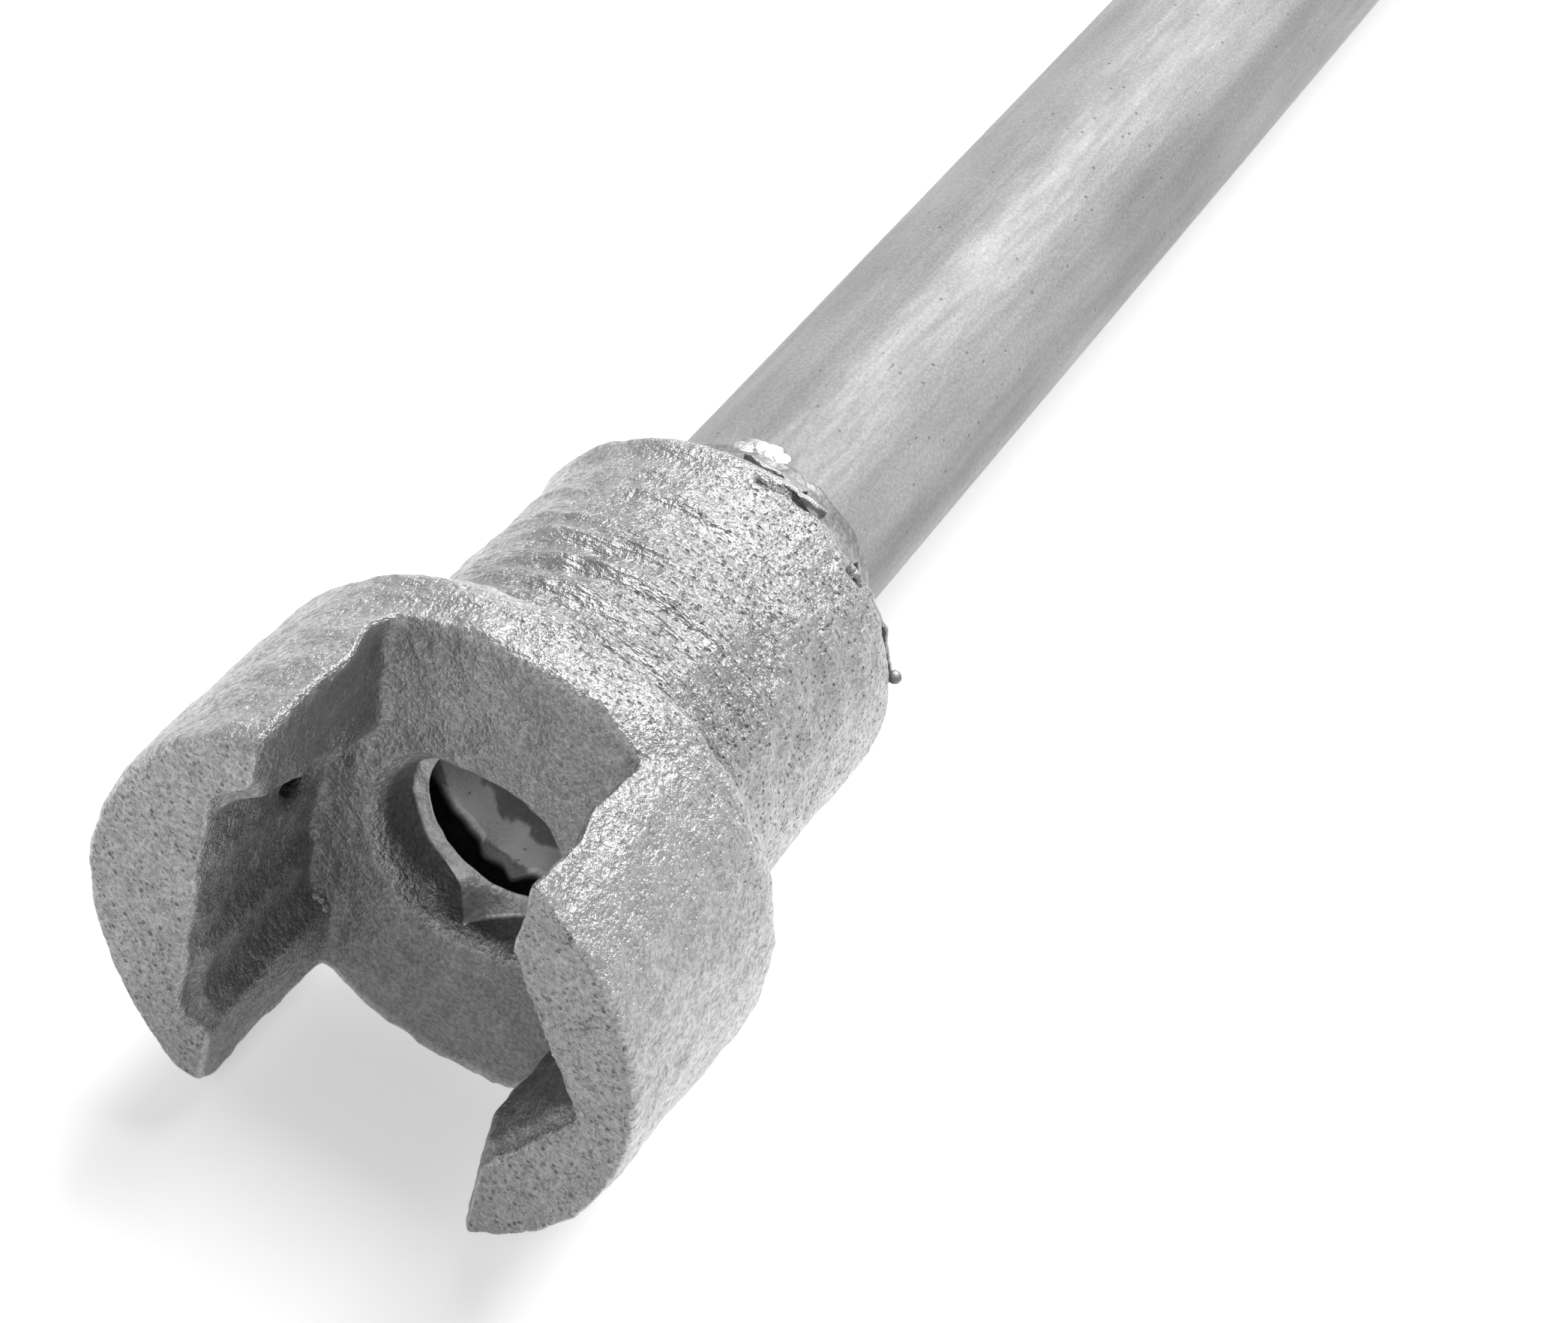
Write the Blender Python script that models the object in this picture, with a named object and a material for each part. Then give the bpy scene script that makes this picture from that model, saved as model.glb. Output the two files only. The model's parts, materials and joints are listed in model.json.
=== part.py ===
"""Galvanised scaffold tube with a forked head welded on each end.

Frame: X runs along the tube, Y across it, Z up. The origin is under the middle of the
tube, on the plane that the round heads stand on. Each head is modelled about an empty
at the middle of its front face, with +X out of its mouth, so the far head is the near
head turned half a turn about Z. Sizes are in metres.
"""

import math

import bmesh
import bpy
from mathutils import Vector

# Whole piece
OVERALL_LENGTH = 0.730
CLEARANCE = 0.0003

# Tube
TUBE_RADIUS = 0.02415
TUBE_WALL = 0.0032
TUBE_STANDOFF = 0.0087  # from the socket's step back to the tube's end

# Cup: a round block whose front is slotted into two jaws
CUP_RADIUS = 0.0535
JAW_REACH = 0.039
RIGHT_JAW_SETBACK = 0.003
BACK_WALL = 0.0165
CUP_FRONT_CHAMFER = 0.0012
CUP_REAR_ROUND = 0.008
CREASE_ROUND = 0.004

# Sleeve: the neck that the tube is pushed into
SLEEVE_RADIUS = 0.0394
SLEEVE_LENGTH = 0.067
SLEEVE_END_ROUND = 0.004

# Slot and the pockets inside the jaws
SLOT_WIDTH = 0.049
POCKET_BACK_WEB = 0.0006
POCKET_MOUTH = 0.002  # how far the pockets' cutters stand out into the slot
REBATE_DEPTH = 0.0035
REBATE_STEP = 0.0002  # keeps the rebate's walls off the pocket's ceiling
SHOULDER_STEP = 0.002
LEFT_CEILING = 0.028
LEFT_CEILING_FALL = 0.018  # from the front to the back of the pocket
LEFT_POCKET_DEPTH = 0.007
LEFT_SHOULDER_TOP = -0.013
LEFT_LIP_TOP = -0.030
LEFT_LIP_HOLLOW = 0.003
LEFT_LIP_RISE = 0.001
RIGHT_JAW_WALL = 0.010
RIGHT_CEILING = 0.026
RIGHT_CEILING_DEPTH = 0.003
RIGHT_CEILING_RISE = 0.009
RIGHT_LIP_TOP = -0.026
RIGHT_LIP_DEPTH = 0.0045
RIGHT_LIP_SLOPE = 1.2
RIGHT_TIP_BEVEL = 0.0052
RIGHT_TIP_BEVEL_LENGTH = 0.013
TOE_TRIM_HEIGHT = 0.0048
TOE_TRIM_LENGTH = 0.008
TOE_TRIM_RUNOUT = 0.001

# Blow hole in the near casting, high in the left pocket's rear corner
BLOW_HOLE_RADIUS = 0.0048
BLOW_HOLE_DEPTH = 0.0035
BLOW_HOLE_FROM_BACK = 0.010
BLOW_HOLE_Z = 0.0065

# Bore through the back wall
BORE_RADIUS = 0.0195
BORE_LENGTH = 0.013
BORE_CHAMFER = 0.0025
BORE_LEAD = 0.0005  # how far the chamfer's cutter stands ahead of the wall

# Fillet weld between sleeve and tube
WELD_TOP_RADIUS = 0.0345
WELD_LENGTH = 0.0205
WELD_SHOULDER = 0.002
WELD_TOE = 0.0009
WELD_HOLLOW = 1.5
WELD_RIPPLE = 0.0012
WELD_RIPPLES = 5
WELD_STEPS = 6

# Zinc frozen in the bore, with a run at the bottom
ZINC_THICKNESS = 0.0026
ZINC_SETBACK = 0.0005  # ahead of the socket's step
ZINC_LENGTH = 0.0035
ZINC_LIP = 0.6
ZINC_RUN = 0.0062
ZINC_RUN_ANGLE = math.radians(-91.0)
ZINC_RUN_SPREAD = math.radians(13.0)

# Spatter ball on its stalk, at the rear edge of the near sleeve
SPATTER_RADIUS = 0.0009
SPATTER_STALK_RADIUS = 0.0004
SPATTER_HEIGHT = 0.0034
SPATTER_ANGLE = math.radians(12.0)
SPATTER_LEAN = 0.6
SPATTER_SIDES = 12

# Facets round the turned pieces; a flat one faces straight down
SIDES = 48
CUT_MARGIN = 0.010

AXIS_HEIGHT = CUP_RADIUS * math.cos(math.pi / SIDES)
BACK_WALL_X = -JAW_REACH
CUP_REAR_X = BACK_WALL_X - BACK_WALL
SLEEVE_REAR_X = CUP_REAR_X - SLEEVE_LENGTH
SOCKET_RADIUS = TUBE_RADIUS + CLEARANCE
BORE_REAR_X = BACK_WALL_X - BORE_LENGTH
TUBE_FRONT_X = BORE_REAR_X - TUBE_STANDOFF
SLOT_HALF = SLOT_WIDTH / 2.0


def clear_scene():
    """Remove every object, so the script gives the same model in any file."""
    for obj in list(bpy.data.objects):
        bpy.data.objects.remove(obj, do_unlink=True)


def make_material(name, colour, roughness, metallic):
    """A Principled BSDF finish."""
    material = bpy.data.materials.new(name)
    material.use_nodes = True
    shader = material.node_tree.nodes["Principled BSDF"]
    shader.inputs["Base Color"].default_value = (*colour, 1.0)
    shader.inputs["Roughness"].default_value = roughness
    shader.inputs["Metallic"].default_value = metallic
    return material


def add_object(name, bm, parent, material=None):
    """Turn a bmesh into a named object under an end's empty."""
    bmesh.ops.recalc_face_normals(bm, faces=bm.faces)
    mesh = bpy.data.meshes.new(name)
    bm.to_mesh(mesh)
    bm.free()
    obj = bpy.data.objects.new(name, mesh)
    bpy.context.collection.objects.link(obj)
    obj.parent = parent
    if material is not None:
        mesh.materials.append(material)
    mesh.shade_smooth()
    mesh.set_sharp_from_angle(angle=math.radians(35.0))
    return obj


def arc(centre_x, centre_r, radius, start, end, steps):
    """Points (x, r) on a circle arc, from one angle in degrees to another."""
    points = []
    for i in range(steps + 1):
        angle = math.radians(start + (end - start) * i / steps)
        points.append((centre_x + radius * math.cos(angle), centre_r + radius * math.sin(angle)))
    return points


def turned(outline, sides):
    """Spin an (x, r) outline, which ends on the axis, round X into a closed solid."""
    bm = bmesh.new()
    half_step = math.pi / sides
    verts = []
    for x, r in outline:
        verts.append(bm.verts.new((x, r * math.sin(half_step), -r * math.cos(half_step))))
    edges = [bm.edges.new(pair) for pair in zip(verts, verts[1:])]
    bmesh.ops.spin(
        bm, geom=verts + edges, cent=(0, 0, 0), axis=(1, 0, 0), angle=math.tau, steps=sides
    )
    bmesh.ops.remove_doubles(bm, verts=bm.verts, dist=1e-6)
    return bm


def ring(section, sides):
    """A closed ring round X. section(angle) gives its (x, r) outline at that angle."""
    bm = bmesh.new()
    loops = []
    for i in range(sides):
        angle = math.tau * (i + 0.5) / sides - math.pi / 2.0
        turn = (math.cos(angle), math.sin(angle))
        loops.append([bm.verts.new((x, r * turn[0], r * turn[1])) for x, r in section(angle)])
    count = len(loops[0])
    for i, loop in enumerate(loops):
        following = loops[(i + 1) % sides]
        for j in range(count):
            k = (j + 1) % count
            bm.faces.new((loop[j], loop[k], following[k], following[j]))
    return bm


def prism(front, back, front_x, back_x):
    """A solid between two (y, z) outlines with as many points, one ahead of the other."""
    bm = bmesh.new()
    ahead = [bm.verts.new((front_x, y, z)) for y, z in front]
    behind = [bm.verts.new((back_x, y, z)) for y, z in back]
    bm.faces.new(ahead)
    bm.faces.new(behind)
    for i in range(len(ahead)):
        j = (i + 1) % len(ahead)
        bm.faces.new((ahead[i], ahead[j], behind[j], behind[i]))
    bmesh.ops.triangulate(bm, faces=bm.faces)
    return bm


def cut(target, name, bm):
    """Cut a solid out of the target with an exact Boolean."""
    cutter = add_object(name, bm, target.parent)
    cutter.hide_render = True
    cutter.display_type = "WIRE"
    modifier = target.modifiers.new(name, "BOOLEAN")
    modifier.operation = "DIFFERENCE"
    modifier.solver = "EXACT"
    modifier.object = cutter


def head_outline():
    """Outer profile of cup and sleeve, from the front centre to the rear centre."""
    rear_round = min(CUP_REAR_ROUND, 0.45 * BACK_WALL, 0.8 * (CUP_RADIUS - SLEEVE_RADIUS))
    crease = min(CREASE_ROUND, CUP_RADIUS - SLEEVE_RADIUS - rear_round)
    end = SLEEVE_END_ROUND
    outline = [(0.0, 0.0), (0.0, CUP_RADIUS - CUP_FRONT_CHAMFER), (-CUP_FRONT_CHAMFER, CUP_RADIUS)]
    outline += arc(CUP_REAR_X + rear_round, CUP_RADIUS - rear_round, rear_round, 90, 180, 4)
    outline += arc(CUP_REAR_X - crease, SLEEVE_RADIUS + crease, crease, 0, -90, 3)
    outline += arc(SLEEVE_REAR_X + end, SLEEVE_RADIUS - end, end, 90, 180, 3)
    outline.append((SLEEVE_REAR_X, 0.0))
    return outline


def bore_outline():
    """Chamfered bore in the back wall and the tube's socket behind it."""
    return [
        (BACK_WALL_X + BORE_LEAD, 0.0),
        (BACK_WALL_X + BORE_LEAD, BORE_RADIUS + BORE_CHAMFER + BORE_LEAD),
        (BACK_WALL_X - BORE_CHAMFER, BORE_RADIUS),
        (BORE_REAR_X, BORE_RADIUS),
        (BORE_REAR_X, SOCKET_RADIUS),
        (SLEEVE_REAR_X - CUT_MARGIN, SOCKET_RADIUS),
        (SLEEVE_REAR_X - CUT_MARGIN, 0.0),
    ]


def slot_outline():
    """The slot seen from the front: open at the top and at the bottom."""
    reach = CUP_RADIUS + CUT_MARGIN
    return [(-SLOT_HALF, -reach), (SLOT_HALF, -reach), (SLOT_HALF, reach), (-SLOT_HALF, reach)]


def left_pocket(fall, inset):
    """Left pocket seen from the front: a sloped ceiling, an upright wall and a hooked lip.

    fall is how far the ceiling has come down, and inset is how far the lower wall and
    the lip stand proud, as a shoulder.
    """
    inner = -SLOT_HALF + POCKET_MOUTH
    wall = -SLOT_HALF - LEFT_POCKET_DEPTH
    ceiling = LEFT_CEILING - fall
    lip_top = LEFT_LIP_TOP + inset
    return [
        (inner, ceiling + LEFT_POCKET_DEPTH + POCKET_MOUTH),
        (wall, ceiling),
        (wall, LEFT_SHOULDER_TOP),
        (wall + inset, LEFT_SHOULDER_TOP - inset),
        (wall + inset, lip_top + LEFT_LIP_HOLLOW),
        (wall + inset + LEFT_LIP_HOLLOW, lip_top),
        (inner, lip_top + LEFT_LIP_RISE),
    ]


def right_pocket(inset):
    """Right pocket seen from the front: a V with its point towards the jaw's back.

    inset is how far its lower side and its point stand in from the rebate's.
    """
    inner = SLOT_HALF - POCKET_MOUTH
    point = CUP_RADIUS - RIGHT_JAW_WALL
    lip = SLOT_HALF + RIGHT_LIP_DEPTH - inset
    lip_top = RIGHT_LIP_TOP + inset
    return [
        (inner, lip_top - (lip - inner) * RIGHT_LIP_SLOPE),
        (lip, lip_top),
        (point - inset, 0.0),
        (SLOT_HALF + RIGHT_CEILING_DEPTH, RIGHT_CEILING),
        (inner, RIGHT_CEILING + RIGHT_CEILING_RISE),
    ]


def tip_bevel():
    """Sloped cut on the inner front corner of the right jaw's lip, seen from the front."""
    inner = SLOT_HALF - POCKET_MOUTH
    outer = SLOT_HALF + RIGHT_TIP_BEVEL
    low = -(CUP_RADIUS + CUT_MARGIN)
    top = RIGHT_LIP_TOP + SHOULDER_STEP
    front = [(inner, low), (outer, low), (outer, top), (inner, top)]
    back = [(inner, low), (SLOT_HALF, low), (SLOT_HALF, top), (inner, top)]
    return front, back


def toe_trim():
    """Sloped cut under both jaws' front bottom corners, seen from the front."""
    side = CUP_RADIUS + CUT_MARGIN
    low = -side
    corner = -math.sqrt(CUP_RADIUS**2 - SLOT_HALF**2)
    front_top = corner + TOE_TRIM_HEIGHT
    back_top = corner - TOE_TRIM_RUNOUT
    front = [(-side, low), (side, low), (side, front_top), (-side, front_top)]
    back = [(-side, low), (side, low), (side, back_top), (-side, back_top)]
    return front, back


def blow_hole():
    """A small round cavity sunk into the left pocket's wall."""
    bm = bmesh.new()
    bmesh.ops.create_icosphere(bm, subdivisions=2, radius=BLOW_HOLE_RADIUS)
    wall = -SLOT_HALF - LEFT_POCKET_DEPTH
    centre = Vector((
        BACK_WALL_X + BLOW_HOLE_FROM_BACK,
        wall + BLOW_HOLE_RADIUS - BLOW_HOLE_DEPTH,
        BLOW_HOLE_Z,
    ))
    bmesh.ops.translate(bm, verts=bm.verts, vec=centre)
    return bm


def cut_pocket(head, side, front, back, rebate, face_x):
    """One jaw's pocket, and the wider rebate behind its front face."""
    back_x = BACK_WALL_X + POCKET_BACK_WEB
    cut(head, side + "_pocket_cut", prism(front, back, CUT_MARGIN, back_x))
    cut(head, side + "_rebate_cut", prism(rebate, rebate, CUT_MARGIN, face_x - REBATE_DEPTH))


def right_jaw_facing():
    """The block ahead of the right jaw's front face, which stands back from the left's."""
    reach = CUP_RADIUS + CUT_MARGIN
    return [(0.0, -reach), (reach, -reach), (reach, reach), (0.0, reach)]


def fork_head(end, prefix, material):
    """Cup, jaws, back wall and sleeve: one casting."""
    head = add_object(prefix + "_fork_head", turned(head_outline(), SIDES), end, material)
    cut(head, prefix + "_bore_cut", turned(bore_outline(), SIDES))
    cut(head, prefix + "_slot_cut", prism(slot_outline(), slot_outline(), CUT_MARGIN, BACK_WALL_X))
    facing = right_jaw_facing()
    cut(head, prefix + "_facing_cut", prism(facing, facing, CUT_MARGIN, -RIGHT_JAW_SETBACK))
    left_front = left_pocket(0.0, SHOULDER_STEP)
    left_back = left_pocket(LEFT_CEILING_FALL, SHOULDER_STEP)
    left_rebate = left_pocket(0.0, REBATE_STEP)
    cut_pocket(head, prefix + "_left", left_front, left_back, left_rebate, 0.0)
    right_both = right_pocket(SHOULDER_STEP)
    right_rebate = right_pocket(REBATE_STEP)
    right_face_x = -RIGHT_JAW_SETBACK
    cut_pocket(head, prefix + "_right", right_both, right_both, right_rebate, right_face_x)
    front, back = tip_bevel()
    bevel_x = right_face_x - RIGHT_TIP_BEVEL_LENGTH
    cut(head, prefix + "_tip_cut", prism(front, back, right_face_x + CLEARANCE, bevel_x))
    front, back = toe_trim()
    cut(head, prefix + "_toe_cut", prism(front, back, CLEARANCE, -TOE_TRIM_LENGTH))
    return head


def collar_weld(end, prefix, material):
    """Hollow fillet from the sleeve's rear face down to the tube, with a rippled toe."""
    front_x = SLEEVE_REAR_X - CLEARANCE
    inner = TUBE_RADIUS + CLEARANCE
    top = min(WELD_TOP_RADIUS, SLEEVE_RADIUS - SLEEVE_END_ROUND)
    leg = top - inner - WELD_TOE

    def section(angle):
        length = WELD_LENGTH + WELD_RIPPLE * math.sin(WELD_RIPPLES * angle)
        hollow = []
        for i in range(WELD_STEPS + 1):
            share = i / WELD_STEPS
            x = front_x - WELD_SHOULDER - (length - WELD_SHOULDER) * share
            hollow.append((x, inner + WELD_TOE + leg * (1.0 - share) ** WELD_HOLLOW))
        return [(front_x, inner), (front_x, top)] + hollow + [(front_x - length, inner)]

    return add_object(prefix + "_collar_weld", ring(section, SIDES), end, material)


def bore_zinc(end, prefix, material):
    """Ring of zinc frozen in the bore, with one run drawn forward at the bottom."""
    outer = BORE_RADIUS - CLEARANCE
    inner = outer - ZINC_THICKNESS

    middle = (inner + outer) / 2.0
    back = BORE_REAR_X + ZINC_SETBACK
    lip = back + ZINC_LIP * ZINC_LENGTH

    def section(angle):
        away = math.remainder(angle - ZINC_RUN_ANGLE, math.tau) / ZINC_RUN_SPREAD
        front = back + ZINC_LENGTH + ZINC_RUN * math.exp(-away * away)
        return [(back, inner), (back, outer), (front, outer), (lip, middle), (lip, inner)]

    return add_object(prefix + "_bore_zinc", ring(section, SIDES), end, material)


def spatter_ball(end, material):
    """A weld spatter ball on a thin stalk, standing off the sleeve's rear edge."""
    foot = SPATTER_HEIGHT
    outline = [(-foot, 0.0), (-foot, SPATTER_STALK_RADIUS)]
    outline += arc(0.0, 0.0, SPATTER_RADIUS, 150, 0, 6)
    outline[-1] = (SPATTER_RADIUS, 0.0)
    ball = add_object("spatter_ball", turned(outline, SPATTER_SIDES), end, material)
    out = Vector((-SPATTER_LEAN, math.cos(SPATTER_ANGLE), math.sin(SPATTER_ANGLE))).normalized()
    edge_centre = SLEEVE_RADIUS - SLEEVE_END_ROUND
    base = Vector((SLEEVE_REAR_X + SLEEVE_END_ROUND, *(edge_centre * out.yz.normalized())))
    ball.rotation_mode = "QUATERNION"
    ball.rotation_quaternion = Vector((1, 0, 0)).rotation_difference(out)
    ball.location = base + out * (SLEEVE_END_ROUND + CLEARANCE + foot)
    return ball


def tube(material):
    """The long tube, open at both ends inside the heads."""
    half = OVERALL_LENGTH / 2.0 + TUBE_FRONT_X
    inner = TUBE_RADIUS - TUBE_WALL
    section = [(-half, inner), (-half, TUBE_RADIUS), (half, TUBE_RADIUS), (half, inner)]
    body = add_object("tube", ring(lambda angle: section, SIDES), None, material)
    body.location = (0.0, 0.0, AXIS_HEIGHT)
    return body


def end_empty(name, x, turn):
    """An empty at the middle of a head's front face, with +X out of the mouth."""
    empty = bpy.data.objects.new(name, None)
    bpy.context.collection.objects.link(empty)
    empty.location = (x, 0.0, AXIS_HEIGHT)
    empty.rotation_euler = (0.0, 0.0, turn)
    return empty


def main():
    clear_scene()
    cast_zinc = make_material("galvanised_casting", (0.56, 0.57, 0.58), 0.55, 0.8)
    tube_zinc = make_material("galvanised_tube", (0.60, 0.61, 0.62), 0.38, 0.9)
    weld_zinc = make_material("galvanised_weld", (0.48, 0.49, 0.50), 0.6, 0.8)
    bore_finish = make_material("zinc_run", (0.52, 0.53, 0.54), 0.5, 0.8)
    tube(tube_zinc)
    near = end_empty("near_end", OVERALL_LENGTH / 2.0, 0.0)
    far = end_empty("far_end", -OVERALL_LENGTH / 2.0, math.pi)
    for end, prefix in ((near, "near"), (far, "far")):
        head = fork_head(end, prefix, cast_zinc)
        if end is near:
            cut(head, "near_blow_hole_cut", blow_hole())
        collar_weld(end, prefix, weld_zinc)
        bore_zinc(end, prefix, bore_finish)
    spatter_ball(near, weld_zinc)


main()
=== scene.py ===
# %% [markdown]
# # A galvanised scaffold tube with a fork head on each end
#
# The real piece is a steel tube, pushed into the sleeve of a rough casting at each end,
# welded all round, and dipped whole into molten zinc. What the eye reads is the zinc:
# a bright, crystalline skin over sand-cast iron, smooth long streaks on the tube, and
# lumps and runs where it drained. This lesson builds that skin round the measured frame.
#
# The frame comes first. It gives the true sizes, and every later cell works from them.

# %% Load the frame
import itertools
import json
import math

import bmesh
import bpy
import numpy as np
from mathutils import Matrix, Vector


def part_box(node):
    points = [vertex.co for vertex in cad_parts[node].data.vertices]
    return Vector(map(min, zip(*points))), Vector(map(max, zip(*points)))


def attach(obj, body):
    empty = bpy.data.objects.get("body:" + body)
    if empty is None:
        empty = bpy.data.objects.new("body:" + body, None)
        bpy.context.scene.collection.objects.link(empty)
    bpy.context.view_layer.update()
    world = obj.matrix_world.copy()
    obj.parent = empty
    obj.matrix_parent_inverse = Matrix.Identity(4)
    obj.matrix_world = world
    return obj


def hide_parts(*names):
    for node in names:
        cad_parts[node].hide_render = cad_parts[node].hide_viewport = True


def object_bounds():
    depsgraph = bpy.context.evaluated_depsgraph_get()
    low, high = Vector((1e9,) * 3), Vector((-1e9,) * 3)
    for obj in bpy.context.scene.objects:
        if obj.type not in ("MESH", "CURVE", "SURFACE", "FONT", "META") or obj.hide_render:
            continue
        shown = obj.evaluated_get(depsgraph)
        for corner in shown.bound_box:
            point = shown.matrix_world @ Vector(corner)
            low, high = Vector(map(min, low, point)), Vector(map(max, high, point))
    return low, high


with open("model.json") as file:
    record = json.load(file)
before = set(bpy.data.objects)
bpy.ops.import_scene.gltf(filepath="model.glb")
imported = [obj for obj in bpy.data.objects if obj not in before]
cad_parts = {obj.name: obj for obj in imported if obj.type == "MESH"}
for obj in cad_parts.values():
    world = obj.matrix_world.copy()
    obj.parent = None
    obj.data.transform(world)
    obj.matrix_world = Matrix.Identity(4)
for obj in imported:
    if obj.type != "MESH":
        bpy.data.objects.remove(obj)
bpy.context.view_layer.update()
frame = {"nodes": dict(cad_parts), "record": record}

print("frame nodes:", sorted(frame["nodes"]))

# %% [markdown]
# ## Reading the sizes
#
# A turned piece of the frame has 48 flat facets, and the outermost ones face along Y and
# Z, so its box is a little narrower than its circle. Dividing by the cosine of half a
# facet's angle gives the true radius. The flat mounts of the record give the back wall
# and the slot. Lengths are in metres, and MM and DEG keep small numbers readable.

# %% Sizes from the frame
MM = 0.001
DEG = math.pi / 180.0
FACETS = 48
FACET = math.cos(math.pi / FACETS)

mount_at = {mount["name"]: mount["pos_m"] for mount in frame["record"]["mounts"]}
head_low, head_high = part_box("near_fork_head")
tube_low, tube_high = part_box("tube")
weld_low, weld_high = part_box("near_collar_weld")
zinc_low, zinc_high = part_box("near_bore_zinc")
ball_low, ball_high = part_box("spatter_ball")

FRONT_X = head_high.x
AXIS_Z = (tube_low.z + tube_high.z) / 2.0
CUP_RADIUS = head_high.y / FACET
TUBE_RADIUS = tube_high.y / FACET
WELD_RADIUS = weld_high.y / FACET
ZINC_RADIUS = zinc_high.y / FACET
BACK_WALL = mount_at["near_back_wall"][0] - FRONT_X
SLOT_HALF = abs(mount_at["near_slot_cheek"][1])
RIGHT_FACE = mount_at["near_right_jaw_face"][0] - FRONT_X
SLEEVE_REAR = head_low.x - FRONT_X
print(f"cup {CUP_RADIUS / MM:.1f} mm, tube {TUBE_RADIUS / MM:.2f} mm, in radius")
print(f"the sleeve ends {-SLEEVE_REAR / MM:.1f} mm behind the front")

# %% [markdown]
# ## One head, two places
#
# Each head is worked out about the middle of its own front face, with +X out of the mouth
# and the tube's axis through the origin. The near head is only shifted into place. The
# far head is also turned half a turn about the vertical, which changes the sign of X and Y.

# %% Between a head's own space and the frame
END_TURN = {"near": 1.0, "far": -1.0}


def into_frame(points, end):
    """Shift by the front's distance and the axis height; the far end swaps the signs of X and Y."""
    turn = END_TURN[end]
    x = (points[:, 0] + FRONT_X) * turn
    return np.column_stack((x, points[:, 1] * turn, points[:, 2] + AXIS_Z))


def into_head(points, end):
    """The reverse of into_frame."""
    turn = END_TURN[end]
    x = points[:, 0] * turn - FRONT_X
    return np.column_stack((x, points[:, 1] * turn, points[:, 2] - AXIS_Z))


# %% [markdown]
# ## Noise that can be computed for a whole mesh at once
#
# Rough metal is layers of soft random hills. A texture could bump them in the shader, but
# hills that show on the outline have to be real geometry. Here a cube of random numbers
# is read at each point and blended between its eight nearest corners, for all the points
# in one go. The same seed always gives the same hills. The other helpers are soft steps
# and bells, which say where a cause acts, and conversions round the tube's axis.

# %% Noise, soft steps and round shapes
LATTICE = 48


def hills(points, size, seed):
    """Value noise from -1 to 1: random corners of cubes of this size, mixed with 3t^2 - 2t^3."""
    corners = np.random.default_rng(seed).uniform(-1.0, 1.0, (LATTICE, LATTICE, LATTICE))
    cell = points / size + LATTICE / 2.0
    base = np.floor(cell).astype(int)
    part = cell - base
    part = part * part * (3.0 - 2.0 * part)
    total = np.zeros(len(points))
    for corner in itertools.product((0, 1), repeat=3):
        pick = (base + np.array(corner)) % LATTICE
        weight = np.where(np.array(corner) == 1, part, 1.0 - part).prod(axis=1)
        total += weight * corners[pick[:, 0], pick[:, 1], pick[:, 2]]
    return total


def step(value, low, high):
    """0 below low, 1 above high, and a smooth S between them; low may be the larger one."""
    share = np.clip((value - low) / (high - low), 0.0, 1.0)
    return share * share * (3.0 - 2.0 * share)


def bump_at(value, centre, width):
    """A bell: e to the minus square of the distance from the centre in widths."""
    return np.exp(-(((value - centre) / width) ** 2))


def round_axis(points):
    """Each point's angle about the axis, and its distance from the axis."""
    return np.arctan2(points[:, 2], points[:, 1]), np.hypot(points[:, 1], points[:, 2])


def turn_angles(count):
    """Evenly spaced angles of a whole turn, in a column."""
    return (np.arange(count) / count * math.tau)[:, None]


def on_circle(angle):
    """Points of a unit circle: noise read at them meets itself after a whole turn."""
    return np.column_stack((np.cos(angle), np.sin(angle), 0.0 * angle))


def turned(x, radius, angle):
    """The points (x, r cos, r sin), in rows: a profile carried round the axis."""
    return np.stack((x, radius * np.cos(angle), radius * np.sin(angle)), axis=-1).reshape(-1, 3)


print("noise check:", np.round(hills(np.array([[0.0, 0.0, 0.0], [0.001, 0.002, 0.003]]), 0.004, 1), 3))

# %% [markdown]
# ## Turning arrays into a mesh
#
# Two arrays, points and quads, go into a mesh with foreach_set, which is much quicker
# than making faces one at a time. A grid of points needs only its neighbours worked out:
# columns and, for a ring, rows join up again at the end. A closed surface whose signed
# volume comes out negative is inside out, so its quads are reversed.

# %% Mesh helpers
MERGE_DISTANCE = 0.00001


def grid_quads(rows, columns, rows_close, columns_close):
    """Quads between neighbouring grid points, numbered row by row; closing wraps with a remainder."""
    row = np.arange(rows if rows_close else rows - 1)[:, None]
    column = np.arange(columns if columns_close else columns - 1)[None, :]
    next_row = (row + 1) % rows
    next_column = (column + 1) % columns
    quads = np.stack(
        (
            row * columns + column,
            row * columns + next_column,
            next_row * columns + next_column,
            next_row * columns + column,
        ),
        axis=-1,
    )
    return quads.reshape(-1, 4)


def signed_volume(points, quads):
    """A sixth of the sum of a . (b x c) over the quads' triangles."""
    a, b, c, d = (points[quads[:, i]] for i in range(4))
    return (a * (np.cross(b, c) + np.cross(c, d))).sum() / 6.0


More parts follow.
